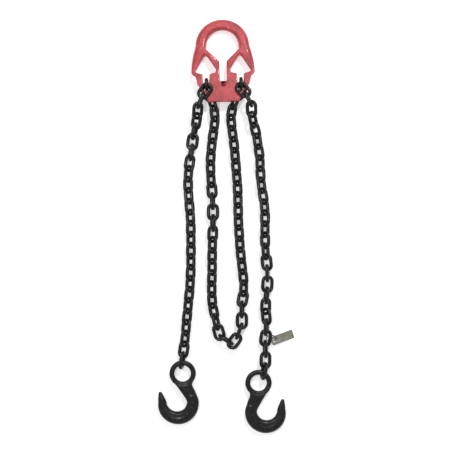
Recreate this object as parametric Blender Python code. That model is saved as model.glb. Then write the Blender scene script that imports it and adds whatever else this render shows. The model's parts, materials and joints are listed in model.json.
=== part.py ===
"""Adjustable chain sling lying flat on a surface.

A cast head plate holds one continuous length of chain by a link standing in each of its two
keyhole slots.  Each end of the chain is a leg with an open hook.  The length between the slots
hangs behind the plate as one long loop, and an identification tag sits on a ring in the right leg.

Frame: metres, +X across the sling, +Y from the hooks towards the head, +Z up off the surface.
"""
import math

import bmesh
import bpy
import numpy as np
from mathutils import Matrix, Vector

MM = 0.001
UP = Vector((0.0, 0.0, 1.0))

# Chain: round-link chain of nominal size 10, with its wire at the thin end of the tolerance
WIRE = 10.0 * MM
WIRE_DRAWN = 9.5 * MM
INNER_LENGTH = 30.0 * MM
INNER_WIDTH = 14.0 * MM
SLACK = 0.5 * MM
CROWN_RADIUS = (INNER_WIDTH + WIRE) / 2
HALF_STRAIGHT = (INNER_LENGTH - INNER_WIDTH) / 2
CROWN_REACH = CROWN_RADIUS + HALF_STRAIGHT
CROWN_STEPS = 4
WELD_LENGTH = 5.0 * MM
WELD_SIDE = 4.0 * MM
CLEARANCE_STEPS = 20
SETTLING_ROUNDS = 7
EXTRA_LIMIT = 1.5 * MM

# Brings the whole sling's box to rest centred on the origin
PLACE_SHIFT = Vector((-2.58, 1.56, -0.0646)) * MM

# Head plate, in its own frame: u across, v towards the eye, w out of the front face
HEAD_PLACE = Vector((-4.5 * MM, 371.5 * MM, 31.0 * MM))
HEAD_TILT = math.radians(6.0)
HEAD_TURN = math.radians(1.6)
WEB_THICKNESS = 8.0 * MM
WEB_EDGE = 1.2 * MM
ARCH_THICKNESS = 22.0 * MM
ARCH_WIDTH = 29.0 * MM
EYE_V = 106.0 * MM
EYE_RADIUS = 42.0 * MM
EYE_STEPS = 16
SLOT_U = 45.2 * MM
SLOT_HALF_WIDTH = 8.35 * MM
SLOT_END_V = -9.4 * MM
THROAT_HALF_WIDTH = 9.4 * MM
RECESS_SIZE = Vector((11.0, 15.0, 4.0)) * MM
RECESS_V = 2.0 * MM
# A slot link stands a little to one side of its slot's middle, and a little out of the front
SLOT_LINK_SHIFT = 1.0 * MM
SLOT_LINK_OUT = 0.5 * MM
# Heights of the links that lie on the plate's front and back, from the middle of the web
FRONT_LEVEL = 8.9 * MM
BACK_LEVEL = -9.45 * MM

# Hooks: the eye's centre is the hook's origin, and the hook hangs towards -Y
HOOK_EYE_RADIUS = 21.4 * MM
HOOK_EYE_RADIAL = 14.0 * MM
HOOK_EYE_THICKNESS = 10.0 * MM
HOOK_FLATNESS = 0.62
BOWL_CENTRE = Vector((-13.5, -78.3, 0.0)) * MM
BOWL_RADIUS = 40.6 * MM
HOOK_TILT = math.radians(2.4)

# Identification tag and its wire ring
TAG_LENGTH = 62.0 * MM
TAG_WIDTH = 22.5 * MM
TAG_THICKNESS = 1.6 * MM
TAG_CORNER = 2.5 * MM
TAG_HOLE_RADIUS = 4.2 * MM
TAG_HOLE_INSET = 6.5 * MM
TAG_BEARING = math.radians(18.4)
RING_RADIUS = 13.0 * MM
RING_WIRE = 2.4 * MM
RING_TILT = math.radians(45.0)
# The ring goes round the outer bar of this link of the right leg, centred a little outside the bar
RING_LINK = 23
RING_OFFSET = Vector((2.5, 0.6, 0.0)) * MM
# Where the tag's hole lies round the ring
TAG_HOLE_ANGLE = math.radians(-52.0)

# Routes: x and y in millimetres, the centreline's height, and the chain's twist in degrees
LEFT_LEG_ROUTE = [
    (-69.9, 320.5, 41.7, 16), (-72.0, 298.9, 34.0, 38), (-75.2, 277.5, 26.5, 56), (-80.6, 254.1, 21.0, 70),
    (-85.6, 230.3, 18.0, 86), (-88.4, 206.4, 17.4, 101), (-92.2, 182.6, 16.1, 118), (-95.6, 158.7, 14.4, 131),
    (-98.6, 126.9, 13.7, 135), (-98.1, 95.1, 13.7, 135), (-95.7, 63.3, 13.7, 135), (-92.8, 31.5, 13.7, 135),
    (-91.3, 0.0, 13.7, 135), (-90.9, -63.9, 13.7, 135), (-91.4, -119.5, 13.7, 135), (-94.1, -167.2, 13.7, 135),
    (-98.8, -214.9, 13.7, 135), (-103.2, -262.6, 13.7, 135), (-107.5, -310.3, 14.6, 142), (-112.0, -342.1, 16.4, 158),
    (-116.9, -375.5, 17.2, 176),
]
RIGHT_LEG_ROUTE = [
    (67.8, 320.5, 40.6, -17), (69.0, 299.5, 34.0, -36), (73.0, 278.0, 26.5, -44), (80.0, 254.1, 19.5, -45),
    (85.3, 230.3, 15.2, -45), (88.4, 206.4, 13.7, -45), (92.2, 182.6, 13.7, -45), (93.0, 150.8, 13.7, -45),
    (94.2, 126.9, 13.7, -45), (98.0, 95.1, 13.7, -45), (103.4, 63.3, 13.7, -45), (105.8, 39.5, 13.7, -45),
    (105.7, 0.0, 13.7, -45), (105.8, -40.0, 13.8, -44), (107.2, -71.8, 15.2, -36), (110.8, -103.6, 16.6, -18),
    (112.4, -135.4, 17.4, -2), (111.0, -167.2, 17.4, 4), (107.6, -199.0, 17.2, 16), (107.2, -222.9, 16.4, 36),
    (109.8, -250.0, 16.6, 62), (109.0, -278.5, 17.4, 82), (105.8, -308.0, 17.4, 92), (106.4, -334.2, 17.0, 102),
    (106.8, -360.0, 16.8, 107), (104.5, -382.0, 16.9, 107), (99.0, -403.5, 16.9, 105),
]
LOOP_ROUTE = [
    (-30.6, 316.0, 15.2, 44), (-26.8, 292.0, 13.9, 45), (-27.8, 270.0, 13.8, 45),
    (-31.8, 246.2, 13.7, 45), (-34.7, 222.3, 13.7, 45), (-37.1, 198.5, 13.7, 45), (-39.2, 166.7, 13.7, 45),
    (-38.2, 134.9, 13.8, 46), (-35.8, 103.1, 15.4, 56), (-33.4, 71.3, 17.2, 78), (-32.3, 39.5, 17.4, 90),
    (-32.2, 7.7, 17.0, 104), (-33.1, -24.1, 14.8, 126), (-34.5, -71.8, 13.7, 135), (-34.7, -119.5, 13.7, 135),
    (-35.8, -167.2, 13.7, 135), (-35.0, -199.0, 13.7, 135), (-30.6, -227.0, 13.9, 137), (-23.6, -254.7, 16.3, 152),
    (-17.4, -280.0, 17.2, 172), (-8.5, -306.0, 17.4, 180), (3.4, -315.6, 17.4, 180), (18.0, -313.0, 17.4, 180),
    (33.0, -292.0, 17.3, 180), (43.0, -266.0, 17.3, 180), (44.6, -246.7, 17.3, 181), (42.6, -226.0, 17.3, 186),
    (44.0, -206.0, 17.0, 198), (48.6, -183.1, 15.4, 214), (49.6, -159.3, 13.9, 224), (48.2, -135.4, 13.7, 225),
    (44.3, -103.6, 13.7, 225), (40.0, -63.9, 13.7, 225), (37.4, -24.1, 13.7, 225), (35.0, 15.6, 13.7, 225),
    (34.2, 55.4, 13.7, 225), (32.9, 103.1, 13.7, 225), (29.2, 150.8, 13.7, 225), (25.4, 198.5, 13.7, 225),
    (19.9, 246.2, 13.7, 225), (16.2, 270.0, 13.7, 225), (15.0, 293.0, 13.9, 225), (19.5, 314.0, 15.0, 227),
]
# The first and last links leave the slot links at these angles from -Y, outwards positive, and slopes
LEG_ANGLES = {"left": math.radians(35.5), "right": math.radians(42.0)}
LEG_RISE = math.radians(4.4)
LOOP_ANGLES = {"left": math.radians(-29.0), "right": math.radians(-31.0)}
LOOP_RISE = math.radians(-13.0)
SIDES = {"left": -1, "right": 1}

# Twist, in degrees, where the first or last link meets the next one
LEG_TWIST = {"left": 4.5, "right": -3.0}
LOOP_TWIST = {"left": 16.0, "right": 250.0}

# Links in each run, and in each solid from the head downwards: a solid may hold two joined links
LOOP_LINKS = 48
LEG_GROUPS = {"left": [1] + [2] * 12 + [1], "right": [1] + [2] * 13}
LOOP_GROUPS = [2] * 24

# Where each hook's eye lies from the end of its leg, measured from -Y, and how the hook is turned
HOOK_OFFSET_ANGLE = {"left": math.radians(15.0), "right": math.radians(-42.0)}
HOOK_TURN = {"left": 0.0, "right": math.radians(5.3)}


# ---------------------------------------------------------------- materials and scene helpers
def make_material(name, colour, roughness, metallic):
    material = bpy.data.materials.new(name)
    material.use_nodes = True
    shader = material.node_tree.nodes["Principled BSDF"]
    shader.inputs["Base Color"].default_value = (*colour, 1.0)
    shader.inputs["Roughness"].default_value = roughness
    shader.inputs["Metallic"].default_value = metallic
    return material


def add_object(name, data, collection, material=None, matrix=None):
    obj = bpy.data.objects.new(name, data)
    collection.objects.link(obj)
    if material is not None:
        data.materials.clear()
        data.materials.append(material)
    if matrix is not None:
        obj.matrix_world = matrix
    return obj


def make_cutter(obj):
    obj.hide_render = True
    obj.display_type = "WIRE"
    return obj


def add_boolean(obj, operation, tool):
    modifier = obj.modifiers.new(operation.lower(), "BOOLEAN")
    modifier.operation = operation
    modifier.solver = "EXACT"
    if isinstance(tool, bpy.types.Collection):
        modifier.operand_type = "COLLECTION"
        modifier.collection = tool
    else:
        modifier.object = tool


def curve_to_mesh(curve, name):
    """Turn a curve datablock into a closed mesh with its caps welded on."""
    carrier = bpy.data.objects.new(name + "_curve", curve)
    bpy.context.scene.collection.objects.link(carrier)
    depsgraph = bpy.context.evaluated_depsgraph_get()
    mesh = bpy.data.meshes.new_from_object(carrier.evaluated_get(depsgraph))
    mesh.name = name
    bpy.data.objects.remove(carrier)
    shape = bmesh.new()
    shape.from_mesh(mesh)
    bmesh.ops.remove_doubles(shape, verts=shape.verts, dist=0.01 * MM)
    bmesh.ops.recalc_face_normals(shape, faces=shape.faces)
    shape.to_mesh(mesh)
    shape.free()
    mesh.shade_smooth()
    mesh.set_sharp_from_angle(angle=math.radians(50.0))
    return mesh


def tube_curve(name, points, radius, resolution, cyclic=False, widths=None):
    """A round tube through points; widths scale the radius at each point."""
    curve = bpy.data.curves.new(name, "CURVE")
    curve.dimensions = "3D"
    curve.bevel_depth = radius
    curve.bevel_resolution = resolution
    curve.use_fill_caps = not cyclic
    spline = curve.splines.new("POLY")
    spline.points.add(len(points) - 1)
    for index, point in enumerate(points):
        spline.points[index].co = (*point, 1.0)
        if widths is not None:
            spline.points[index].radius = widths[index]
    spline.use_cyclic_u = cyclic
    return curve


def outline_curve(name, outlines, thickness, edge):
    """A flat plate from closed outlines, the first the outside and the rest holes."""
    curve = bpy.data.curves.new(name, "CURVE")
    curve.dimensions = "2D"
    curve.fill_mode = "BOTH"
    curve.extrude = thickness / 2 - edge
    curve.bevel_depth = edge
    curve.bevel_resolution = 0
    curve.offset = -edge
    for outline in outlines:
        spline = curve.splines.new("POLY")
        spline.points.add(len(outline) - 1)
        for index, (x, y) in enumerate(outline):
            spline.points[index].co = (x, y, 0.0, 1.0)
        spline.use_cyclic_u = True
    return curve


def arc(centre_x, centre_y, radius, start, end, steps):
    """Points on an arc, with angles in degrees."""
    points = []
    for index in range(steps + 1):
        angle = math.radians(start + (end - start) * index / steps)
        points.append((centre_x + radius * math.cos(angle), centre_y + radius * math.sin(angle)))
    return points


def mirrored(points):
    return [(-x, y) for x, y in reversed(points)]


# ---------------------------------------------------------------- chain geometry
def link_centreline():
    """The stadium-shaped centreline of one link, long along Y."""
    top = arc(0.0, HALF_STRAIGHT, CROWN_RADIUS, 0.0, 180.0, CROWN_STEPS)
    bottom = arc(0.0, -HALF_STRAIGHT, CROWN_RADIUS, 180.0, 360.0, CROWN_STEPS)
    return [(x, y, 0.0) for x, y in top + bottom]


def make_link_mesh():
    curve = tube_curve("link", link_centreline(), WIRE_DRAWN / 2, 1, cyclic=True)
    return curve_to_mesh(curve, "link")


def frame_matrix(centre, along, width):
    """A matrix whose Y runs along the link and whose X runs across its width."""
    normal = width.cross(along)
    matrix = Matrix((width, along, normal)).transposed().to_4x4()
    matrix.translation = centre
    return matrix


def link_matrix(start, end, number, gaps):
    """The place of a link between two turning points, rolled about its length."""
    along = (end - start).to_3d().normalized()
    level = along.cross(UP).normalized()
    upright = level.cross(along)
    turned = math.pi / 2 * number
    roll = (start[3] + end[3]) / 2 + turned
    width = level * math.cos(roll) + upright * math.sin(roll)
    before = crown_offset(gaps[number], start[3] + turned)
    after = crown_offset(gaps[number + 1], end[3] + turned)
    centre = (start.to_3d() - along * before + end.to_3d() + along * after) / 2
    return frame_matrix(centre, along, width)


def fine_centreline():
    """Closely spaced points on one link's centreline, for measuring clearances."""
    top = arc(0.0, HALF_STRAIGHT, CROWN_RADIUS, 0.0, 180.0, CLEARANCE_STEPS)
    left = [(-CROWN_RADIUS, HALF_STRAIGHT * (1 - share / 4)) for share in range(1, 8)]
    half = top + left
    return np.array([(x, y, 0.0) for x, y in half] + [(-x, -y, 0.0) for x, y in half])


def placed_centreline(matrix):
    """The centreline of the link at a matrix."""
    place = np.array(matrix)
    return fine_centreline() @ place[:3, :3].T + place[:3, 3]


def wire_distance(first, second):
    """The distance between the centrelines of two links."""
    apart = placed_centreline(first)[:, None, :] - placed_centreline(second)[None, :, :]
    return float(np.sqrt((apart**2).sum(axis=2).min()))


def catmull_rom(before, start, end, after, t):
    return 0.5 * (
        2 * start
        + (end - before) * t
        + (2 * before - 5 * start + 4 * end - after) * t * t
        + (3 * start - 3 * end + after - before) * t * t * t
    )


def smooth_route(points, samples=24):
    """A fine polyline through four-component route points: place and twist."""
    padded = [2 * points[0] - points[1]] + points + [2 * points[-1] - points[-2]]
    fine = []
    for index in range(len(points) - 1):
        corner = padded[index : index + 4]
        for step in range(samples):
            fine.append(catmull_rom(*corner, step / samples))
    fine.append(points[-1])
    return fine


def crown_offset(gap, roll):
    """How far past the turning point a link's crown lies.

    Chain lying on a surface turns sideways at the crowns of its upright links, so the crown of a
    flat link lies a whole crown spacing past the turning point, and that of an upright one at it.
    """
    return (WIRE + gap) * math.cos(roll) ** 2


def overlong(start, stop, number, gaps):
    """Whether two turning points are at least as far apart as link number spans."""
    turned = math.pi / 2 * number
    before = crown_offset(gaps[number], start[3] + turned)
    after = crown_offset(gaps[number + 1], stop[3] + turned)
    return (stop - start).to_3d().length >= 2 * CROWN_REACH - before - after


def walk(fine, gaps, number):
    """Up to a number of turning points along a fine polyline, one link apart, from its start."""
    stops = [fine[0]]
    for index in range(1, len(fine)):
        here = fine[index - 1]
        there = fine[index]
        while len(stops) < number and overlong(stops[-1], there, len(stops), gaps):
            low, high = 0.0, 1.0
            for _ in range(20):
                middle = (low + high) / 2
                if overlong(stops[-1], here.lerp(there, middle), len(stops), gaps):
                    high = middle
                else:
                    low = middle
            stops.append(here.lerp(there, high))
    return stops


def fill_route(fine, extra, number):
    """A number of turning points that just fill a route, and the gap at each contact of the run."""
    low, high = -2.0 * MM, 3.0 * MM
    for _ in range(16):
        shared = (low + high) / 2
        if len(walk(fine, [shared + more for more in extra], number)) == number:
            high = shared
        else:
            low = shared
    gaps = [high + more for more in extra]
    return walk(fine, gaps, number), gaps


def settle(route, count, leave, arrive=None):
    """Places of a run's links, spread along a route with every pair of neighbours equally clear."""
    extra = [0.0] * (count + 2)
    gaps = [SLACK] * (count + 2)
    for _ in range(SETTLING_ROUNDS):
        head = leave(gaps[1])
        tail = arrive(gaps[count - 1]) if arrive else []
        fine = smooth_route(head[1:] + route + tail[:1])
        stops, gaps = fill_route(fine, extra, count - len(tail[:1]))
        contacts = head[:1] + stops + tail[1:]
        gaps[0] = gaps[count] = SLACK
        matrices = [link_matrix(contacts[i], contacts[i + 1], i, gaps) for i in range(count)]
        clear = [wire_distance(matrices[i], matrices[i + 1]) for i in range(count - 1)]
        usual = sorted(clear)[count // 2]
        for index, distance in enumerate(clear):
            more = extra[index + 1] + usual - distance
            extra[index + 1] = max(-EXTRA_LIMIT, min(EXTRA_LIMIT, more))
    return matrices


def route_vectors(rows):
    return [Vector((x * MM, y * MM, z * MM, math.radians(twist))) for x, y, z, twist in rows]


def head_matrix():
    turn = Matrix.Rotation(HEAD_TURN, 4, "Z")
    tilt = Matrix.Rotation(-HEAD_TILT, 4, "X")
    return Matrix.Translation(HEAD_PLACE) @ turn @ tilt


def slot_link_centre(side):
    return head_matrix() @ Vector((SIDES[side] * SLOT_U + SLOT_LINK_SHIFT, 0.0, SLOT_LINK_OUT))


def slot_link_matrix(side):
    """A slot link stands through the plate: long along w, wide along v."""
    axes = head_matrix().to_3x3()
    return frame_matrix(slot_link_centre(side), axes.col[2].copy(), axes.col[1].copy())


def crown_pivot(side, level):
    """The middle of a slot link's lower bar, at the level of the link that hangs round it."""
    local = Vector((SIDES[side] * SLOT_U + SLOT_LINK_SHIFT, -CROWN_RADIUS, level))
    return head_matrix() @ local


def end_contacts(side, level, angle, rise, twist, number, gap):
    """Both turning points of the link that hangs round a slot link's lower bar, nearest first."""
    heading = Vector((SIDES[side] * math.sin(angle), -math.cos(angle), 0.0))
    along = heading * math.cos(rise) + UP * math.sin(rise)
    crown = crown_pivot(side, level) - heading * CROWN_RADIUS
    near = crown + along * (WIRE + SLACK)
    roll = math.radians(twist) + math.pi / 2 * number
    far = crown + along * (2 * CROWN_REACH - crown_offset(gap, roll))
    flat = math.radians(90.0 * round(twist / 90.0))
    return [Vector((*near, flat)), Vector((*far, math.radians(twist)))]


def leg_matrices(side, count):
    route = {"left": LEFT_LEG_ROUTE, "right": RIGHT_LEG_ROUTE}[side]

    def leave(gap):
        return end_contacts(side, FRONT_LEVEL, LEG_ANGLES[side], LEG_RISE, LEG_TWIST[side], 0, gap)

    return settle(route_vectors(route), count, leave)


def loop_matrices():
    def leave(gap):
        return end_contacts("left", BACK_LEVEL, LOOP_ANGLES["left"], LOOP_RISE, LOOP_TWIST["left"], 0, gap)

    def arrive(gap):
        ends = end_contacts(
            "right", BACK_LEVEL, LOOP_ANGLES["right"], LOOP_RISE, LOOP_TWIST["right"], LOOP_LINKS - 1, gap
        )
        return ends[::-1]

    return settle(route_vectors(LOOP_ROUTE), LOOP_LINKS, leave, arrive)


# ---------------------------------------------------------------- chain objects
def make_weld_mesh():
    shape = bmesh.new()
    bmesh.ops.create_cube(shape, size=1.0)
    bmesh.ops.scale(shape, vec=(WELD_SIDE, WELD_LENGTH, WELD_SIDE), verts=shape.verts)
    mesh = bpy.data.meshes.new("joining_block")
    shape.to_mesh(mesh)
    shape.free()
    return mesh


def joining_matrix(upper, lower):
    """The place midway between the crowns where two neighbouring links meet."""
    along_upper = upper.to_3x3().col[1] * CROWN_REACH
    along_lower = lower.to_3x3().col[1] * CROWN_REACH
    place = lower.copy()
    place.translation = (upper.translation + along_upper + lower.translation - along_lower) / 2
    return place


def add_link_group(name, matrices, meshes, material, parts, tools):
    """One closed solid of one link, or of neighbouring links joined where their crowns meet."""
    first = add_object(name, meshes["link"].copy(), parts, material, matrices[0])
    if len(matrices) == 1:
        return first
    members = bpy.data.collections.new(name + "_members")
    tools.children.link(members)
    for index in range(1, len(matrices)):
        block = joining_matrix(matrices[index - 1], matrices[index])
        make_cutter(add_object(f"{name}_join_{index}", meshes["block"], members, None, block))
        make_cutter(add_object(f"{name}_next_{index}", meshes["link"], members, None, matrices[index]))
    add_boolean(first, "UNION", members)
    return first


def add_run(prefix, matrices, groups, meshes, material, parts, tools):
    """The chain of one run as solids of one or two links each."""
    number = 0
    for size in groups:
        first = number + 1
        last = number + size
        label = f"{prefix}_link_{first:02d}" if size == 1 else f"{prefix}_links_{first:02d}_{last:02d}"
        add_link_group(label, matrices[number:last], meshes, material, parts, tools)
        number = last


# ---------------------------------------------------------------- head plate
def plate_outline():
    """The web's outside, ear to ear, with its top inside the arch."""
    half = [
        (-41.0, -46.0), (-47.0, -32.0), (-52.4, -20.0), (-69.0, 2.0), (-69.6, 10.0), (-73.5, 22.5),
        (-81.5, 29.0), (-83.8, 34.0), (-82.0, 47.0), (-76.0, 66.0), (-70.0, 88.0),
    ]
    half = [(x * MM, y * MM) for x, y in half]
    crown = arc(0.0, EYE_V, EYE_RADIUS + ARCH_WIDTH - 6.0 * MM, 175.0, 5.0, EYE_STEPS)
    return half + crown + mirrored(half)


def eye_outline():
    """The eye, the funnel under it and the middle slot, as one opening."""
    funnel = [(-10.5 * MM, 63.0 * MM), (-THROAT_HALF_WIDTH, 60.0 * MM), (-THROAT_HALF_WIDTH, 11.0 * MM)]
    corner = [(-THROAT_HALF_WIDTH + 1.5 * MM, 9.6 * MM)]
    ring = arc(0.0, EYE_V, EYE_RADIUS + 3.0 * MM, -14.0, 194.0, EYE_STEPS)
    return ring + funnel + corner + mirrored(funnel + corner)


def window_outline(side):
    """One triangular window with the keyhole slot that grips the chain below it."""
    left_slot = SLOT_U + SLOT_HALF_WIDTH
    right_slot = SLOT_U - SLOT_HALF_WIDTH
    apex = arc(45.3 * MM, 74.5 * MM, 5.0 * MM, 35.0, 145.0, 4)
    inner = [(19.0 * MM, 42.5 * MM), (18.2 * MM, 39.0 * MM), (22.0 * MM, 32.0 * MM), (32.0 * MM, 30.5 * MM)]
    slot_end = arc(SLOT_U, SLOT_END_V, SLOT_HALF_WIDTH, 180.0, 360.0, 6)
    outer = [(56.0 * MM, 29.5 * MM), (71.5 * MM, 33.5 * MM), (72.8 * MM, 38.0 * MM)]
    points = apex + inner + [(right_slot, 27.0 * MM)] + slot_end + [(left_slot, 27.0 * MM)] + outer
    return [(SIDES[side] * x, y) for x, y in points]


def arch_points():
    """The thick rim's centreline and half width: up one arm, round the eye and down the other."""
    arm = [(-79.0, 33.0, 5.0), (-77.0, 44.0, 6.5), (-72.0, 62.0, 9.5), (-65.0, 82.0, 12.5)]
    arm = [(x * MM, y * MM, width * MM) for x, y, width in arm]
    radius = EYE_RADIUS + ARCH_WIDTH / 2
    over = [(x, y, ARCH_WIDTH / 2) for x, y in arc(0.0, EYE_V, radius, 182.0, -2.0, EYE_STEPS)]
    return arm + over + [(-x, y, width) for x, y, width in reversed(arm)]


def add_arch(tools, matrix):
    rows = arch_points()
    widths = [width / (ARCH_WIDTH / 2) for _, _, width in rows]
    curve = tube_curve("arch", [(x, y, 0.0) for x, y, _ in rows], ARCH_WIDTH / 2, 3, widths=widths)
    mesh = curve_to_mesh(curve, "arch")
    mesh.transform(Matrix.Diagonal((1.0, 1.0, ARCH_THICKNESS / ARCH_WIDTH, 1.0)))
    return make_cutter(add_object("arch_tool", mesh, tools, None, matrix))


def add_recess(tools, matrix):
    shape = bmesh.new()
    bmesh.ops.create_cube(shape, size=1.0)
    bmesh.ops.scale(shape, vec=RECESS_SIZE, verts=shape.verts)
    mesh = bpy.data.meshes.new("recess_tool")
    shape.to_mesh(mesh)
    shape.free()
    place = matrix @ Matrix.Translation((0.0, RECESS_V, WEB_THICKNESS / 2))
    return make_cutter(add_object("recess_tool", mesh, tools, None, place))


def add_head(parts, tools, material):
    matrix = head_matrix()
    outlines = [plate_outline(), eye_outline(), window_outline("left"), window_outline("right")]
    mesh = curve_to_mesh(outline_curve("plate", outlines, WEB_THICKNESS, WEB_EDGE), "head_plate")
    head = add_object("head_plate", mesh, parts, material, matrix)
    add_boolean(head, "UNION", add_arch(tools, matrix))
    add_boolean(head, "DIFFERENCE", add_recess(tools, matrix))
    return head


# ---------------------------------------------------------------- hooks
def hook_spine():
    """The hook's centreline from under the eye to the tip, with the half width at each point."""
    neck = [(-7.0, -27.0, 17.0), (2.0, -38.0, 18.0), (12.5, -50.0, 16.6), (22.0, -62.0, 15.8)]
    points = [(Vector((x, y, 0.0)) * MM, width * MM) for x, y, width in neck]
    steps = 16
    for index in range(steps + 1):
        share = index / steps
        angle = math.radians(8.0 - 190.0 * share)
        offset = Vector((math.cos(angle), math.sin(angle), 0.0)) * BOWL_RADIUS
        width = 15.8 + 2.2 * math.sin(math.pi * min(share * 1.05, 1.0)) - 4.6 * share**3
        points.append((BOWL_CENTRE + offset, width * MM))
    tip = [(-56.6, -66.0, 8.8), (-58.4, -58.0, 6.6), (-59.8, -51.5, 4.4), (-60.3, -48.6, 2.4)]
    points += [(Vector((x, y, 0.0)) * MM, width * MM) for x, y, width in tip]
    return points


def make_hook_mesh():
    spine = hook_spine()
    base = 10.0 * MM
    widths = [width / base for _, width in spine]
    curve = tube_curve("hook", [point for point, _ in spine], base, 3, widths=widths)
    mesh = curve_to_mesh(curve, "hook")
    mesh.transform(Matrix.Diagonal((1.0, 1.0, HOOK_FLATNESS, 1.0)))
    return mesh


def add_hook_eye(name, tools, matrix):
    bpy.ops.mesh.primitive_torus_add(
        major_radius=HOOK_EYE_RADIUS + HOOK_EYE_RADIAL / 2,
        minor_radius=HOOK_EYE_RADIAL / 2,
        major_segments=32,
        minor_segments=10,
    )
    eye = bpy.context.active_object
    eye.name = name + "_eye_tool"
    for owner in list(eye.users_collection):
        owner.objects.unlink(eye)
    tools.objects.link(eye)
    eye.data.transform(Matrix.Diagonal((1.0, 1.0, HOOK_EYE_THICKNESS / HOOK_EYE_RADIAL, 1.0)))
    eye.matrix_world = matrix
    return make_cutter(eye)


def hook_place(side, last_link):
    """The hook's matrix: its eye hangs from the leg's last link and its bowl rests on the surface."""
    along = last_link.to_3x3().col[1]
    crown = last_link.translation + along * CROWN_REACH
    angle = HOOK_OFFSET_ANGLE[side]
    reach = HOOK_EYE_RADIUS - WIRE / 2 - SLACK
    centre = crown + Vector((math.sin(angle), -math.cos(angle), 0.0)) * reach
    turn = Matrix.Rotation(HOOK_TURN[side], 4, "Z")
    tilt = Matrix.Rotation(HOOK_TILT, 4, "X")
    return Matrix.Translation(centre) @ turn @ tilt


def add_hook(side, last_link, parts, tools, material):
    name = f"{side}_hook"
    mesh = make_hook_mesh()
    matrix = hook_place(side, last_link)
    eye = add_hook_eye(name, tools, matrix)
    if side == "right":
        mesh.transform(Matrix.Diagonal((-1.0, 1.0, 1.0, 1.0)))
        mesh.flip_normals()
    hook = add_object(name, mesh, parts, material, matrix)
    add_boolean(hook, "UNION", eye)
    return hook


# ---------------------------------------------------------------- tag and its ring
def ring_matrix(link):
    """The ring's matrix: round the outer bar of a link, with its far side raised."""
    across = link.to_3x3().col[0]
    outwards = across if across.x > 0.0 else -across
    bar = link.translation + outwards * CROWN_RADIUS
    return Matrix.Translation(bar + RING_OFFSET) @ Matrix.Rotation(RING_TILT, 4, "X")


def tag_matrix(ring):
    """The tag's matrix: its hole is the origin, on the ring, and its far end rests on the surface."""
    hole = ring @ (Vector((math.cos(TAG_HOLE_ANGLE), math.sin(TAG_HOLE_ANGLE), 0.0)) * RING_RADIUS)
    slope = math.asin((hole.z - TAG_THICKNESS / 2) / (TAG_LENGTH - TAG_HOLE_INSET))
    return Matrix.Translation(hole) @ Matrix.Rotation(TAG_BEARING, 4, "Z") @ Matrix.Rotation(slope, 4, "Y")


def tag_outlines():
    left = -TAG_HOLE_INSET + TAG_CORNER
    right = TAG_LENGTH - TAG_HOLE_INSET - TAG_CORNER
    top = TAG_WIDTH / 2 - TAG_CORNER
    outside = arc(right, top, TAG_CORNER, 0.0, 90.0, 3) + arc(left, top, TAG_CORNER, 90.0, 180.0, 3)
    outside += arc(left, -top, TAG_CORNER, 180.0, 270.0, 3) + arc(right, -top, TAG_CORNER, 270.0, 360.0, 3)
    return [outside, arc(0.0, 0.0, TAG_HOLE_RADIUS, 0.0, 345.0, 23)]


def add_tag(link, parts, material, wire_material):
    ring_place = ring_matrix(link)
    circle = [(x, y, 0.0) for x, y in arc(0.0, 0.0, RING_RADIUS, 0.0, 348.75, 31)]
    ring = curve_to_mesh(tube_curve("tag_ring", circle, RING_WIRE / 2, 2, cyclic=True), "tag_ring")
    add_object("tag_ring", ring, parts, wire_material, ring_place)
    plate = curve_to_mesh(outline_curve("tag", tag_outlines(), TAG_THICKNESS, 0.3 * MM), "tag")
    add_object("tag", plate, parts, material, tag_matrix(ring_place))


def shift_all(collections):
    """Move every object by the same small amount."""
    for collection in collections:
        for obj in collection.all_objects:
            obj.matrix_world = Matrix.Translation(PLACE_SHIFT) @ obj.matrix_world


# ---------------------------------------------------------------- the sling
def build():
    for obj in list(bpy.data.objects):
        bpy.data.objects.remove(obj)
    parts = bpy.data.collections.new("adjustable_chain_sling")
    tools = bpy.data.collections.new("cutters")
    bpy.context.scene.collection.children.link(parts)
    bpy.context.scene.collection.children.link(tools)

    red = make_material("head_paint", (0.46, 0.03, 0.045), 0.35, 0.0)
    black = make_material("chain_black", (0.03, 0.03, 0.03), 0.38, 0.6)
    hook_black = make_material("hook_black", (0.025, 0.025, 0.025), 0.42, 0.3)
    tag_metal = make_material("tag_metal", (0.24, 0.23, 0.2), 0.45, 0.7)

    meshes = {"link": make_link_mesh(), "block": make_weld_mesh()}
    add_head(parts, tools, red)
    for side in SIDES:
        add_object(f"{side}_slot_link", meshes["link"].copy(), parts, black, slot_link_matrix(side))

    for side in SIDES:
        leg = leg_matrices(side, sum(LEG_GROUPS[side]))
        add_run(f"{side}_leg", leg, LEG_GROUPS[side], meshes, black, parts, tools)
        add_hook(side, leg[-1], parts, tools, hook_black)
    add_tag(leg[RING_LINK], parts, tag_metal, black)
    add_run("loop", loop_matrices(), LOOP_GROUPS, meshes, black, parts, tools)
    shift_all([parts, tools])


build()
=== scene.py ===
"""The looks of the adjustable chain sling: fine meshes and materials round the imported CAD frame."""
import json
import math

import bmesh
import bpy
import numpy as np
from mathutils import Matrix, Vector


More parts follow.
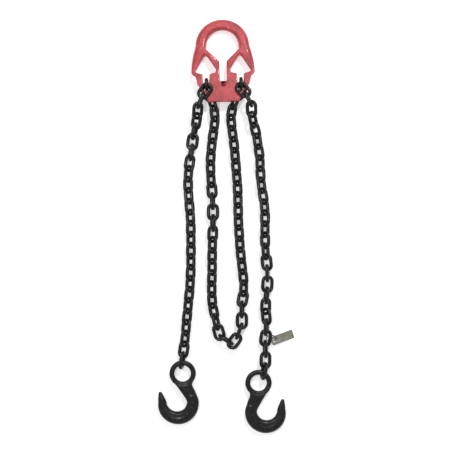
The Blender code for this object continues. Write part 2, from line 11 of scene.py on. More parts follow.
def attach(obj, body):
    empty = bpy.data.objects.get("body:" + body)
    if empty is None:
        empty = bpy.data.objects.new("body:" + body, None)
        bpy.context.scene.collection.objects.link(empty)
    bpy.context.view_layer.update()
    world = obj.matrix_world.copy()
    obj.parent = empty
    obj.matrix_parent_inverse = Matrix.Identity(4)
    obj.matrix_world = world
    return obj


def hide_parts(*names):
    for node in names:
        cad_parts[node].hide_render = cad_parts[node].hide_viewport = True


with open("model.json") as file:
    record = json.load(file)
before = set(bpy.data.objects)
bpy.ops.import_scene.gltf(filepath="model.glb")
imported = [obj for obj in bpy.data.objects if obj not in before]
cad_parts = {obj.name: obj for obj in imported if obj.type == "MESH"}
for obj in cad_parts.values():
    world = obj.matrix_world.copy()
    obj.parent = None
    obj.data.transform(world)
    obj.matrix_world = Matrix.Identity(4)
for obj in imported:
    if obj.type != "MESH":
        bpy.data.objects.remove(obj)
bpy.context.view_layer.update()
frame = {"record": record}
BODIES = frame["record"]["behaviour"]["bodies"]

MM = 0.001
UP = Vector((0.0, 0.0, 1.0))

# Chain: the same sizes as in the CAD model
WIRE = 10.0 * MM
INNER_LENGTH = 30.0 * MM
INNER_WIDTH = 14.0 * MM
SLACK = 0.5 * MM
CROWN_RADIUS = (INNER_WIDTH + WIRE) / 2
HALF_STRAIGHT = (INNER_LENGTH - INNER_WIDTH) / 2
CROWN_REACH = CROWN_RADIUS + HALF_STRAIGHT
CLEARANCE_STEPS = 20
SETTLING_ROUNDS = 7
EXTRA_LIMIT = 1.5 * MM

# Brings the whole sling's box to rest centred on the origin
PLACE_SHIFT = Vector((-2.58, 1.56, -0.0646)) * MM

# Head plate, in its own frame: u across, v towards the eye, w out of the front face
HEAD_PLACE = Vector((-4.5 * MM, 371.5 * MM, 31.0 * MM))
HEAD_TILT = math.radians(6.0)
HEAD_TURN = math.radians(1.6)
WEB_THICKNESS = 8.0 * MM
WEB_EDGE = 1.6 * MM
ARCH_THICKNESS = 22.0 * MM
ARCH_WIDTH = 29.0 * MM
EYE_V = 106.0 * MM
EYE_RADIUS = 42.0 * MM
EYE_STEPS = 56
SLOT_U = 45.2 * MM
SLOT_HALF_WIDTH = 8.35 * MM
SLOT_END_V = -9.4 * MM
THROAT_HALF_WIDTH = 9.4 * MM
RECESS_SIZE = Vector((11.0, 15.0, 4.0)) * MM
RECESS_V = 2.0 * MM
# A slot link stands a little to one side of its slot's middle, and a little out of the front
SLOT_LINK_SHIFT = 1.0 * MM
SLOT_LINK_OUT = 0.5 * MM
# Heights of the links that lie on the plate's front and back, from the middle of the web
FRONT_LEVEL = 8.9 * MM
BACK_LEVEL = -9.45 * MM

# Hooks: the eye's centre is the hook's origin, and the hook hangs towards -Y
HOOK_EYE_RADIUS = 21.4 * MM
HOOK_EYE_RADIAL = 14.0 * MM
HOOK_EYE_THICKNESS = 10.0 * MM
HOOK_FLATNESS = 0.62
BOWL_CENTRE = Vector((-13.5, -78.3, 0.0)) * MM
BOWL_RADIUS = 40.6 * MM
HOOK_TILT = math.radians(2.4)

# Identification tag and its wire ring
TAG_LENGTH = 62.0 * MM
TAG_WIDTH = 22.5 * MM
TAG_THICKNESS = 1.6 * MM
TAG_CORNER = 2.5 * MM
TAG_HOLE_RADIUS = 4.2 * MM
TAG_HOLE_INSET = 6.5 * MM
TAG_BEARING = math.radians(18.4)
RING_RADIUS = 13.0 * MM
RING_WIRE = 2.4 * MM
RING_TILT = math.radians(45.0)
# The ring goes round the outer bar of this link of the right leg, centred a little outside the bar
RING_LINK = 23
RING_OFFSET = Vector((2.5, 0.6, 0.0)) * MM
# Where the tag's hole lies round the ring
TAG_HOLE_ANGLE = math.radians(-52.0)

# Routes: x and y in millimetres, the centreline's height, and the chain's twist in degrees
LEFT_LEG_ROUTE = [
    (-69.9, 320.5, 41.7, 16), (-72.0, 298.9, 34.0, 38), (-75.2, 277.5, 26.5, 56), (-80.6, 254.1, 21.0, 70),
    (-85.6, 230.3, 18.0, 86), (-88.4, 206.4, 17.4, 101), (-92.2, 182.6, 16.1, 118), (-95.6, 158.7, 14.4, 131),
    (-98.6, 126.9, 13.7, 135), (-98.1, 95.1, 13.7, 135), (-95.7, 63.3, 13.7, 135), (-92.8, 31.5, 13.7, 135),
    (-91.3, 0.0, 13.7, 135), (-90.9, -63.9, 13.7, 135), (-91.4, -119.5, 13.7, 135), (-94.1, -167.2, 13.7, 135),
    (-98.8, -214.9, 13.7, 135), (-103.2, -262.6, 13.7, 135), (-107.5, -310.3, 14.6, 142),
    (-112.0, -342.1, 16.4, 158),
    (-116.9, -375.5, 17.2, 176),
]
RIGHT_LEG_ROUTE = [
    (67.8, 320.5, 40.6, -17), (69.0, 299.5, 34.0, -36), (73.0, 278.0, 26.5, -44), (80.0, 254.1, 19.5, -45),
    (85.3, 230.3, 15.2, -45), (88.4, 206.4, 13.7, -45), (92.2, 182.6, 13.7, -45), (93.0, 150.8, 13.7, -45),
    (94.2, 126.9, 13.7, -45), (98.0, 95.1, 13.7, -45), (103.4, 63.3, 13.7, -45), (105.8, 39.5, 13.7, -45),
    (105.7, 0.0, 13.7, -45), (105.8, -40.0, 13.8, -44), (107.2, -71.8, 15.2, -36), (110.8, -103.6, 16.6, -18),
    (112.4, -135.4, 17.4, -2), (111.0, -167.2, 17.4, 4), (107.6, -199.0, 17.2, 16), (107.2, -222.9, 16.4, 36),
    (109.8, -250.0, 16.6, 62), (109.0, -278.5, 17.4, 82), (105.8, -308.0, 17.4, 92), (106.4, -334.2, 17.0, 102),
    (106.8, -360.0, 16.8, 107), (104.5, -382.0, 16.9, 107), (99.0, -403.5, 16.9, 105),
]
LOOP_ROUTE = [
    (-30.6, 316.0, 15.2, 44), (-26.8, 292.0, 13.9, 45), (-27.8, 270.0, 13.8, 45),
    (-31.8, 246.2, 13.7, 45), (-34.7, 222.3, 13.7, 45), (-37.1, 198.5, 13.7, 45), (-39.2, 166.7, 13.7, 45),
    (-38.2, 134.9, 13.8, 46), (-35.8, 103.1, 15.4, 56), (-33.4, 71.3, 17.2, 78), (-32.3, 39.5, 17.4, 90),
    (-32.2, 7.7, 17.0, 104), (-33.1, -24.1, 14.8, 126), (-34.5, -71.8, 13.7, 135), (-34.7, -119.5, 13.7, 135),
    (-35.8, -167.2, 13.7, 135), (-35.0, -199.0, 13.7, 135), (-30.6, -227.0, 13.9, 137),
    (-23.6, -254.7, 16.3, 152),
    (-17.4, -280.0, 17.2, 172), (-8.5, -306.0, 17.4, 180), (3.4, -315.6, 17.4, 180), (18.0, -313.0, 17.4, 180),
    (33.0, -292.0, 17.3, 180), (43.0, -266.0, 17.3, 180), (44.6, -246.7, 17.3, 181), (42.6, -226.0, 17.3, 186),
    (44.0, -206.0, 17.0, 198), (48.6, -183.1, 15.4, 214), (49.6, -159.3, 13.9, 224), (48.2, -135.4, 13.7, 225),
    (44.3, -103.6, 13.7, 225), (40.0, -63.9, 13.7, 225), (37.4, -24.1, 13.7, 225), (35.0, 15.6, 13.7, 225),
    (34.2, 55.4, 13.7, 225), (32.9, 103.1, 13.7, 225), (29.2, 150.8, 13.7, 225), (25.4, 198.5, 13.7, 225),
    (19.9, 246.2, 13.7, 225), (16.2, 270.0, 13.7, 225), (15.0, 293.0, 13.9, 225), (19.5, 314.0, 15.0, 227),
]
# The first and last links leave the slot links at these angles from -Y, outwards positive, and slopes
LEG_ANGLES = {"left": math.radians(35.5), "right": math.radians(42.0)}
LEG_RISE = math.radians(4.4)
LOOP_ANGLES = {"left": math.radians(-29.0), "right": math.radians(-31.0)}
LOOP_RISE = math.radians(-13.0)
SIDES = {"left": -1, "right": 1}

# Twist, in degrees, where the first or last link meets the next one
LEG_TWIST = {"left": 4.5, "right": -3.0}
LOOP_TWIST = {"left": 16.0, "right": 250.0}

# Links in each run, and in each solid from the head downwards: a solid may hold two joined links
LOOP_LINKS = 48
LEG_GROUPS = {"left": [1] + [2] * 12 + [1], "right": [1] + [2] * 13}
LOOP_GROUPS = [2] * 24

# Where each hook's eye lies from the end of its leg, measured from -Y, and how the hook is turned
HOOK_OFFSET_ANGLE = {"left": math.radians(15.0), "right": math.radians(-42.0)}
HOOK_TURN = {"left": 0.0, "right": math.radians(5.3)}

# Fine surface
FINE_WIRE = 9.4 * MM
LINK_STEPS = 14
SIDE_STEPS = 10
WELD_WIDTH = 3.0 * MM
WELD_SWELL = 0.02
HEAD_VOXEL = 1.0 * MM
RING_EDGE = 5.0 * MM
BLEND_START = 22.0 * MM
BLEND_END = 92.0 * MM
HOOK_VOXEL = 1.0 * MM
HOOK_BASE = 10.0 * MM
SPINE_STEPS = 4
NECK_TRIM = 8
NECK_THICKNESS = 14.0 * MM
FLUTE_RADIUS = 36.0 * MM
FLUTE_WIDTH = 4.0 * MM
FLUTE_DEPTH = 1.5 * MM
TAG_BORDER = 1.3 * MM

# Camera straight above the sling, and the white surface that it lies on
SENSOR_WIDTH = 36.0
CAMERA_HEIGHT = 1.917
VIEW_WIDTH = 1.203
CAMERA_AIM = Vector((-0.5, 2.4, 0.0)) * MM + PLACE_SHIFT
FLOOR_SIZE = 6.0
SHIFT = Matrix.Translation(PLACE_SHIFT)


# ---------------------------------------------------------------- shapes
def curve_to_mesh(curve, name):
    """Turn a curve datablock into a closed mesh with its caps welded on."""
    carrier = bpy.data.objects.new(name + "_curve", curve)
    bpy.context.scene.collection.objects.link(carrier)
    depsgraph = bpy.context.evaluated_depsgraph_get()
    mesh = bpy.data.meshes.new_from_object(carrier.evaluated_get(depsgraph))
    mesh.name = name
    bpy.data.objects.remove(carrier)
    shape = bmesh.new()
    shape.from_mesh(mesh)
    bmesh.ops.remove_doubles(shape, verts=shape.verts, dist=0.01 * MM)
    bmesh.ops.recalc_face_normals(shape, faces=shape.faces)
    shape.to_mesh(mesh)
    shape.free()
    mesh.shade_smooth()
    mesh.set_sharp_from_angle(angle=math.radians(50.0))
    return mesh


def tube_curve(name, points, radius, resolution, cyclic=False, widths=None):
    """A round tube through points; widths scale the radius at each point."""
    curve = bpy.data.curves.new(name, "CURVE")
    curve.dimensions = "3D"
    curve.bevel_depth = radius
    curve.bevel_resolution = resolution
    curve.use_fill_caps = not cyclic
    spline = curve.splines.new("POLY")
    spline.points.add(len(points) - 1)
    for index, point in enumerate(points):
        spline.points[index].co = (*point, 1.0)
        if widths is not None:
            spline.points[index].radius = widths[index]
    spline.use_cyclic_u = cyclic
    return curve


def outline_curve(name, outlines, thickness, edge):
    """A flat plate from closed outlines, the first the outside and the rest holes."""
    curve = bpy.data.curves.new(name, "CURVE")
    curve.dimensions = "2D"
    curve.fill_mode = "BOTH"
    curve.extrude = thickness / 2 - edge
    curve.bevel_depth = edge
    curve.bevel_resolution = 0
    curve.offset = -edge
    for outline in outlines:
        spline = curve.splines.new("POLY")
        spline.points.add(len(outline) - 1)
        for index, (x, y) in enumerate(outline):
            spline.points[index].co = (x, y, 0.0, 1.0)
        spline.use_cyclic_u = True
    return curve


def arc(centre_x, centre_y, radius, start, end, steps):
    """Points on an arc, with angles in degrees."""
    points = []
    for index in range(steps + 1):
        angle = math.radians(start + (end - start) * index / steps)
        points.append((centre_x + radius * math.cos(angle), centre_y + radius * math.sin(angle)))
    return points


def mirrored(points):
    return [(-x, y) for x, y in reversed(points)]


# ---------------------------------------------------------------- chain placement, as in the CAD model
def frame_matrix(centre, along, width):
    """A matrix whose Y runs along the link and whose X runs across its width."""
    normal = width.cross(along)
    matrix = Matrix((width, along, normal)).transposed().to_4x4()
    matrix.translation = centre
    return matrix


def link_matrix(start, end, number, gaps):
    """The place of a link between two turning points, rolled about its length."""
    along = (end - start).to_3d().normalized()
    level = along.cross(UP).normalized()
    upright = level.cross(along)
    turned = math.pi / 2 * number
    roll = (start[3] + end[3]) / 2 + turned
    width = level * math.cos(roll) + upright * math.sin(roll)
    before = crown_offset(gaps[number], start[3] + turned)
    after = crown_offset(gaps[number + 1], end[3] + turned)
    centre = (start.to_3d() - along * before + end.to_3d() + along * after) / 2
    return frame_matrix(centre, along, width)


def fine_centreline():
    """Closely spaced points on one link's centreline, for measuring clearances."""
    top = arc(0.0, HALF_STRAIGHT, CROWN_RADIUS, 0.0, 180.0, CLEARANCE_STEPS)
    left = [(-CROWN_RADIUS, HALF_STRAIGHT * (1 - share / 4)) for share in range(1, 8)]
    half = top + left
    return np.array([(x, y, 0.0) for x, y in half] + [(-x, -y, 0.0) for x, y in half])


def placed_centreline(matrix):
    """The centreline of the link at a matrix."""
    place = np.array(matrix)
    return fine_centreline() @ place[:3, :3].T + place[:3, 3]


def wire_distance(first, second):
    """The distance between the centrelines of two links."""
    apart = placed_centreline(first)[:, None, :] - placed_centreline(second)[None, :, :]
    return float(np.sqrt((apart**2).sum(axis=2).min()))


def catmull_rom(before, start, end, after, t):
    return 0.5 * (
        2 * start
        + (end - before) * t
        + (2 * before - 5 * start + 4 * end - after) * t * t
        + (3 * start - 3 * end + after - before) * t * t * t
    )


def smooth_route(points, samples=24):
    """A fine polyline through four-component route points: place and twist."""
    padded = [2 * points[0] - points[1]] + points + [2 * points[-1] - points[-2]]
    fine = []
    for index in range(len(points) - 1):
        corner = padded[index : index + 4]
        for step in range(samples):
            fine.append(catmull_rom(*corner, step / samples))
    fine.append(points[-1])
    return fine


def crown_offset(gap, roll):
    """How far past the turning point a link's crown lies.

    Chain lying on a surface turns sideways at the crowns of its upright links, so the crown of a
    flat link lies a whole crown spacing past the turning point, and that of an upright one at it.
    """
    return (WIRE + gap) * math.cos(roll) ** 2


def overlong(start, stop, number, gaps):
    """Whether two turning points are at least as far apart as link number spans."""
    turned = math.pi / 2 * number
    before = crown_offset(gaps[number], start[3] + turned)
    after = crown_offset(gaps[number + 1], stop[3] + turned)
    return (stop - start).to_3d().length >= 2 * CROWN_REACH - before - after


def walk(fine, gaps, number):
    """Up to a number of turning points along a fine polyline, one link apart, from its start."""
    stops = [fine[0]]
    for index in range(1, len(fine)):
        here = fine[index - 1]
        there = fine[index]
        while len(stops) < number and overlong(stops[-1], there, len(stops), gaps):
            low, high = 0.0, 1.0
            for _ in range(20):
                middle = (low + high) / 2
                if overlong(stops[-1], here.lerp(there, middle), len(stops), gaps):
                    high = middle
                else:
                    low = middle
            stops.append(here.lerp(there, high))
    return stops


def fill_route(fine, extra, number):
    """A number of turning points that just fill a route, and the gap at each contact of the run."""
    low, high = -2.0 * MM, 3.0 * MM
    for _ in range(16):
        shared = (low + high) / 2
        if len(walk(fine, [shared + more for more in extra], number)) == number:
            high = shared
        else:
            low = shared
    gaps = [high + more for more in extra]
    return walk(fine, gaps, number), gaps


def settle(route, count, leave, arrive=None):
    """Places of a run's links, spread along a route with every pair of neighbours equally clear."""
    extra = [0.0] * (count + 2)
    gaps = [SLACK] * (count + 2)
    for _ in range(SETTLING_ROUNDS):
        head = leave(gaps[1])
        tail = arrive(gaps[count - 1]) if arrive else []
        fine = smooth_route(head[1:] + route + tail[:1])
        stops, gaps = fill_route(fine, extra, count - len(tail[:1]))
        contacts = head[:1] + stops + tail[1:]
        gaps[0] = gaps[count] = SLACK
        matrices = [link_matrix(contacts[i], contacts[i + 1], i, gaps) for i in range(count)]
        clear = [wire_distance(matrices[i], matrices[i + 1]) for i in range(count - 1)]
        usual = sorted(clear)[count // 2]
        for index, distance in enumerate(clear):
            more = extra[index + 1] + usual - distance
            extra[index + 1] = max(-EXTRA_LIMIT, min(EXTRA_LIMIT, more))
    return matrices


def route_vectors(rows):
    return [Vector((x * MM, y * MM, z * MM, math.radians(twist))) for x, y, z, twist in rows]


def head_matrix():
    turn = Matrix.Rotation(HEAD_TURN, 4, "Z")
    tilt = Matrix.Rotation(-HEAD_TILT, 4, "X")
    return Matrix.Translation(HEAD_PLACE) @ turn @ tilt


def slot_link_centre(side):
    return head_matrix() @ Vector((SIDES[side] * SLOT_U + SLOT_LINK_SHIFT, 0.0, SLOT_LINK_OUT))


def slot_link_matrix(side):
    """A slot link stands through the plate: long along w, wide along v."""
    axes = head_matrix().to_3x3()
    return frame_matrix(slot_link_centre(side), axes.col[2].copy(), axes.col[1].copy())


def crown_pivot(side, level):
    """The middle of a slot link's lower bar, at the level of the link that hangs round it."""
    local = Vector((SIDES[side] * SLOT_U + SLOT_LINK_SHIFT, -CROWN_RADIUS, level))
    return head_matrix() @ local


def end_contacts(side, level, angle, rise, twist, number, gap):
    """Both turning points of the link that hangs round a slot link's lower bar, nearest first."""
    heading = Vector((SIDES[side] * math.sin(angle), -math.cos(angle), 0.0))
    along = heading * math.cos(rise) + UP * math.sin(rise)
    crown = crown_pivot(side, level) - heading * CROWN_RADIUS
    near = crown + along * (WIRE + SLACK)
    roll = math.radians(twist) + math.pi / 2 * number
    far = crown + along * (2 * CROWN_REACH - crown_offset(gap, roll))
    flat = math.radians(90.0 * round(twist / 90.0))
    return [Vector((*near, flat)), Vector((*far, math.radians(twist)))]


def leg_matrices(side, count):
    route = {"left": LEFT_LEG_ROUTE, "right": RIGHT_LEG_ROUTE}[side]

    def leave(gap):
        return end_contacts(side, FRONT_LEVEL, LEG_ANGLES[side], LEG_RISE, LEG_TWIST[side], 0, gap)

    return settle(route_vectors(route), count, leave)


def loop_matrices():
    def leave(gap):
        return end_contacts("left", BACK_LEVEL, LOOP_ANGLES["left"], LOOP_RISE, LOOP_TWIST["left"], 0, gap)

    def arrive(gap):
        ends = end_contacts(
            "right", BACK_LEVEL, LOOP_ANGLES["right"], LOOP_RISE, LOOP_TWIST["right"], LOOP_LINKS - 1, gap
        )
        return ends[::-1]

    return settle(route_vectors(LOOP_ROUTE), LOOP_LINKS, leave, arrive)


# ---------------------------------------------------------------- outlines, as in the CAD model
def plate_outline():
    """The web's outside, ear to ear, with its top inside the arch."""
    half = [
        (-41.0, -46.0), (-47.0, -32.0), (-52.4, -20.0), (-69.0, 2.0), (-69.6, 10.0), (-73.5, 22.5),
        (-81.5, 29.0), (-83.8, 34.0), (-82.0, 47.0), (-76.0, 66.0), (-70.0, 88.0),
    ]
    half = [(x * MM, y * MM) for x, y in half]
    crown = arc(0.0, EYE_V, EYE_RADIUS + ARCH_WIDTH - 6.0 * MM, 175.0, 5.0, EYE_STEPS)
    return half + crown + mirrored(half)


def eye_outline():
    """The eye, the funnel under it and the middle slot, as one opening."""
    funnel = [(-10.5 * MM, 63.0 * MM), (-THROAT_HALF_WIDTH, 60.0 * MM), (-THROAT_HALF_WIDTH, 11.0 * MM)]
    corner = [(-THROAT_HALF_WIDTH + 1.5 * MM, 9.6 * MM)]
    ring = arc(0.0, EYE_V, EYE_RADIUS + 3.0 * MM, -14.0, 194.0, EYE_STEPS)
    return ring + funnel + corner + mirrored(funnel + corner)


def window_outline(side):
    """One triangular window with the keyhole slot that grips the chain below it."""
    left_slot = SLOT_U + SLOT_HALF_WIDTH
    right_slot = SLOT_U - SLOT_HALF_WIDTH
    apex = arc(45.3 * MM, 74.5 * MM, 5.0 * MM, 35.0, 145.0, 4)
    inner = [(19.0 * MM, 42.5 * MM), (18.2 * MM, 39.0 * MM), (22.0 * MM, 32.0 * MM), (32.0 * MM, 30.5 * MM)]
    slot_end = arc(SLOT_U, SLOT_END_V, SLOT_HALF_WIDTH, 180.0, 360.0, 6)
    outer = [(56.0 * MM, 29.5 * MM), (71.5 * MM, 33.5 * MM), (72.8 * MM, 38.0 * MM)]
    points = apex + inner + [(right_slot, 27.0 * MM)] + slot_end + [(left_slot, 27.0 * MM)] + outer
    return [(SIDES[side] * x, y) for x, y in points]


def arch_points():
    """The thick rim's centreline and half width: up one arm, round the eye and down the other."""
    arm = [(-79.0, 33.0, 5.0), (-77.0, 44.0, 6.5), (-72.0, 62.0, 9.5), (-65.0, 82.0, 12.5)]
    arm = [(x * MM, y * MM, width * MM) for x, y, width in arm]
    radius = EYE_RADIUS + ARCH_WIDTH / 2
    over = [(x, y, ARCH_WIDTH / 2) for x, y in arc(0.0, EYE_V, radius, 182.0, -2.0, EYE_STEPS)]
    return arm + over + [(-x, y, width) for x, y, width in reversed(arm)]


def hook_spine():
    """The hook's centreline from under the eye to the tip, with the half width at each point."""
    neck = [(-7.0, -27.0, 17.0), (2.0, -38.0, 18.0), (12.5, -50.0, 16.6), (22.0, -62.0, 15.8)]
    points = [(Vector((x, y, 0.0)) * MM, width * MM) for x, y, width in neck]
    steps = 16
    for index in range(steps + 1):
        share = index / steps
        angle = math.radians(8.0 - 190.0 * share)
        offset = Vector((math.cos(angle), math.sin(angle), 0.0)) * BOWL_RADIUS
        width = 15.8 + 2.2 * math.sin(math.pi * min(share * 1.05, 1.0)) - 4.6 * share**3
        points.append((BOWL_CENTRE + offset, width * MM))
    tip = [(-56.6, -66.0, 8.8), (-58.4, -58.0, 6.6), (-59.8, -51.5, 4.4), (-60.3, -48.6, 2.4)]
    points += [(Vector((x, y, 0.0)) * MM, width * MM) for x, y, width in tip]
    return points


def hook_place(side, last_link):
    """The hook's matrix: its eye hangs from the leg's last link and its bowl rests on the surface."""
    along = last_link.to_3x3().col[1]
    crown = last_link.translation + along * CROWN_REACH
    angle = HOOK_OFFSET_ANGLE[side]
    reach = HOOK_EYE_RADIUS - WIRE / 2 - SLACK
    centre = crown + Vector((math.sin(angle), -math.cos(angle), 0.0)) * reach
    turn = Matrix.Rotation(HOOK_TURN[side], 4, "Z")
    tilt = Matrix.Rotation(HOOK_TILT, 4, "X")
    return Matrix.Translation(centre) @ turn @ tilt


def ring_matrix(link):
    """The ring's matrix: round the outer bar of a link, with its far side raised."""
    across = link.to_3x3().col[0]
    outwards = across if across.x > 0.0 else -across
    bar = link.translation + outwards * CROWN_RADIUS
    return Matrix.Translation(bar + RING_OFFSET) @ Matrix.Rotation(RING_TILT, 4, "X")


def tag_matrix(ring):
    """The tag's matrix: its hole is the origin, on the ring, and its far end rests on the surface."""
    hole = ring @ (Vector((math.cos(TAG_HOLE_ANGLE), math.sin(TAG_HOLE_ANGLE), 0.0)) * RING_RADIUS)
    slope = math.asin((hole.z - TAG_THICKNESS / 2) / (TAG_LENGTH - TAG_HOLE_INSET))
    return Matrix.Translation(hole) @ Matrix.Rotation(TAG_BEARING, 4, "Z") @ Matrix.Rotation(slope, 4, "Y")


def tag_outlines():
    left = -TAG_HOLE_INSET + TAG_CORNER
    right = TAG_LENGTH - TAG_HOLE_INSET - TAG_CORNER
    top = TAG_WIDTH / 2 - TAG_CORNER
    outside = arc(right, top, TAG_CORNER, 0.0, 90.0, 3) + arc(left, top, TAG_CORNER, 90.0, 180.0, 3)
    outside += arc(left, -top, TAG_CORNER, 180.0, 270.0, 3) + arc(right, -top, TAG_CORNER, 270.0, 360.0, 3)
    return [outside, arc(0.0, 0.0, TAG_HOLE_RADIUS, 0.0, 345.0, 23)]


# ---------------------------------------------------------------- pieces on their bodies
def body_of_node(node):
    return next(body for body, members in BODIES.items() if node in members)


def add_piece(name, mesh, matrix, material, node):
    """A visible piece in its place, riding on the body of the CAD node that it stands for."""
    obj = bpy.data.objects.new(name, mesh)
    bpy.context.scene.collection.objects.link(obj)
    obj.matrix_world = SHIFT @ matrix
    if not mesh.materials:
        mesh.materials.append(material)
    bpy.context.view_layer.update()
    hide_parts(node)
    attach(obj, body_of_node(node))
    return obj


def fuse(name, meshes, voxel, smoothing):
    """One smooth skin round several overlapping closed meshes, as a casting or forging has."""
    joined = bmesh.new()
    for mesh in meshes:
        joined.from_mesh(mesh)
    merged = bpy.data.meshes.new(name)
    joined.to_mesh(merged)
    joined.free()
    carrier = bpy.data.objects.new(name, merged)
    remesh = carrier.modifiers.new("skin", "REMESH")
    remesh.mode = "VOXEL"
    remesh.voxel_size = voxel
    soften = carrier.modifiers.new("soften", "SMOOTH")
    soften.factor = 0.5
    soften.iterations = smoothing
    return baked(carrier)


def thin_out(mesh):
    """The same surface with half its faces, which flat areas can spare."""
    carrier = bpy.data.objects.new(mesh.name, mesh)
    carrier.modifiers.new("thin", "DECIMATE").ratio = 0.5
    return baked(carrier)


def baked(carrier):
    """The carrier's mesh with its modifiers applied, shaded smooth; the carrier goes."""
    bpy.context.scene.collection.objects.link(carrier)
    depsgraph = bpy.context.evaluated_depsgraph_get()
    mesh = bpy.data.meshes.new_from_object(carrier.evaluated_get(depsgraph))
    bpy.data.objects.remove(carrier)
    mesh.materials.clear()
    mesh.shade_smooth()
    return mesh


# ---------------------------------------------------------------- chain
def link_mesh():
    """A round-wire link with the swollen bead of its weld in the middle of one side."""
    top = arc(0.0, HALF_STRAIGHT, CROWN_RADIUS, 0.0, 180.0, LINK_STEPS)
    bottom = arc(0.0, -HALF_STRAIGHT, CROWN_RADIUS, 180.0, 360.0, LINK_STEPS)
    side = [(-CROWN_RADIUS, HALF_STRAIGHT * (1 - 2 * i / SIDE_STEPS)) for i in range(1, SIDE_STEPS)]
    weld_side = [(-x, -y) for x, y in side]
    points = top + side + bottom + weld_side
    widths = []
    for x, y in points:
        bead = math.exp(-((y / WELD_WIDTH) ** 2)) if x > 0.9 * CROWN_RADIUS else 0.0
        ripple = 0.25 * math.exp(-(((abs(y) - WELD_WIDTH) / (0.4 * WELD_WIDTH)) ** 2)) if bead else 0.0
        widths.append(1.0 + WELD_SWELL * (bead - ripple))
    curve = tube_curve("link", [(x, y, 0.0) for x, y in points], FINE_WIRE / 2, 5, cyclic=True, widths=widths)
    return curve_to_mesh(curve, "link")


def link_nodes(prefix, groups):
    """The CAD node that each link of a run belongs to."""
    nodes = []
    for size in groups:
        first = len(nodes) + 1
        last = len(nodes) + size
        label = f"{prefix}_link_{first:02d}" if size == 1 else f"{prefix}_links_{first:02d}_{last:02d}"
        nodes += [label] * size
    return nodes


def add_chain(prefix, matrices, groups, mesh, material):
    for number, (matrix, node) in enumerate(zip(matrices, link_nodes(prefix, groups)), start=1):
        turned = matrix @ Matrix.Rotation(math.pi * (number % 3 == 0), 4, "Y")
        add_piece(f"{prefix}_fine_{number:02d}", mesh, turned, material, node)


# ---------------------------------------------------------------- head plate
def ring_share(height):
    """How much of the ring's thickness the plate has at a height: none low down, all at the eye."""
    share = min(max((height - BLEND_START) / (BLEND_END - BLEND_START), 0.0), 1.0)
    return share * share * (3 - 2 * share)


def head_mesh():
    """The red casting: thin web below, thick flat-faced ring with rounded edges above."""
    outlines = [plate_outline(), eye_outline(), window_outline("left"), window_outline("right")]
    web_curve = outline_curve("web", outlines, WEB_THICKNESS, WEB_EDGE)
    web_curve.bevel_resolution = 2
    web = curve_to_mesh(web_curve, "web")
    ring_curve = outline_curve("ring", outlines, ARCH_THICKNESS, RING_EDGE)
    ring_curve.bevel_resolution = 4
    ring = curve_to_mesh(ring_curve, "ring")
    bmesh_ring = bmesh.new()
    bmesh_ring.from_mesh(ring)
    for height in np.arange(BLEND_START, BLEND_END + 1 * MM, 4 * MM):
        whole = bmesh_ring.verts[:] + bmesh_ring.edges[:] + bmesh_ring.faces[:]
        bmesh.ops.bisect_plane(bmesh_ring, geom=whole, plane_co=(0, height, 0), plane_no=(0, 1, 0))
    for vertex in bmesh_ring.verts:
        low = 0.6 * WEB_THICKNESS / ARCH_THICKNESS
        vertex.co.z *= low + (1 - low) * ring_share(vertex.co.y)
    bmesh_ring.to_mesh(ring)
    bmesh_ring.free()
    mesh = thin_out(cut_recess(fuse("head", [web, ring, rim_mesh()], HEAD_VOXEL, 5)))
    mesh.set_sharp_from_angle(angle=math.radians(40.0))
    return mesh


def rim_mesh():
    """The rounded rim round the eye, oval in section."""
    rows = arch_points()
    widths = [width / (ARCH_WIDTH / 2) for _, _, width in rows]
    curve = tube_curve("rim", [(x, y, 0.0) for x, y, _ in rows], ARCH_WIDTH / 2, 8, widths=widths)
    rim = curve_to_mesh(curve, "rim")
    rim.transform(Matrix.Diagonal((1.0, 1.0, ARCH_THICKNESS / ARCH_WIDTH, 1.0)))
    return rim


def cut_recess(mesh):
    """Sink the small rectangular pocket by moving the skin inside it down."""
    for vertex in mesh.vertices:
        x, y, z = vertex.co
        inside_x = abs(x) < RECESS_SIZE.x / 2
        inside_y = abs(y - RECESS_V) < RECESS_SIZE.y / 2
        if inside_x and inside_y and z > WEB_THICKNESS / 4:
            vertex.co.z = WEB_THICKNESS / 2 - RECESS_SIZE.z / 2
    return mesh


def slab(name, centre, size):
    """A thin slab with softened edges."""
    x, y = size.x / 2, size.y / 2
    outline = [(centre.x + i * x, centre.y + j * y) for i, j in ((-1, -1), (1, -1), (1, 1), (-1, 1))]
    mesh = curve_to_mesh(outline_curve(name, [outline], size.z, 0.25 * MM), name)
    mesh.transform(Matrix.Translation((0.0, 0.0, centre.z)))
    return mesh


def add_recess_painted_shade(painted_shade_paint, shadow_paint):
    """Painted shade in the pocket: a darker red sheet on its floor, and a near-black sheet for the shadowed
    hollow at its upper end.
    """
    level = WEB_THICKNESS / 2 - RECESS_SIZE.z / 2
    floor_size = Vector((RECESS_SIZE.x - 1.5 * MM, RECESS_SIZE.y - 1.5 * MM, 0.8 * MM))
    hollow_size = Vector((RECESS_SIZE.x - 3 * MM, 0.3 * RECESS_SIZE.y, 1.2 * MM))
    # Both slabs are painted shade laid in the pocket: the floor sheet darker red, the hollow sheet near black.
    floor = slab("recess_shade_sheet", Vector((0.0, RECESS_V, level)), floor_size)
    hollow = slab("hollow_shadow_sheet", Vector((0.0, RECESS_V + 0.3 * RECESS_SIZE.y, level)), hollow_size)
    add_piece("recess_shade_sheet", floor, head_matrix(), painted_shade_paint, "head_plate")
    add_piece("hollow_shadow_sheet", hollow, head_matrix(), shadow_paint, "head_plate")


# ---------------------------------------------------------------- hooks
def smooth_spine():
    rows = [Vector((*point, width)) for point, width in hook_spine()]
    padded = [2 * rows[0] - rows[1]] + rows + [2 * rows[-1] - rows[-2]]
    fine = []
    for index in range(len(rows) - 1):
        for step in range(SPINE_STEPS):
            fine.append(catmull_rom(*padded[index : index + 4], step / SPINE_STEPS))
    return fine + [rows[-1]]


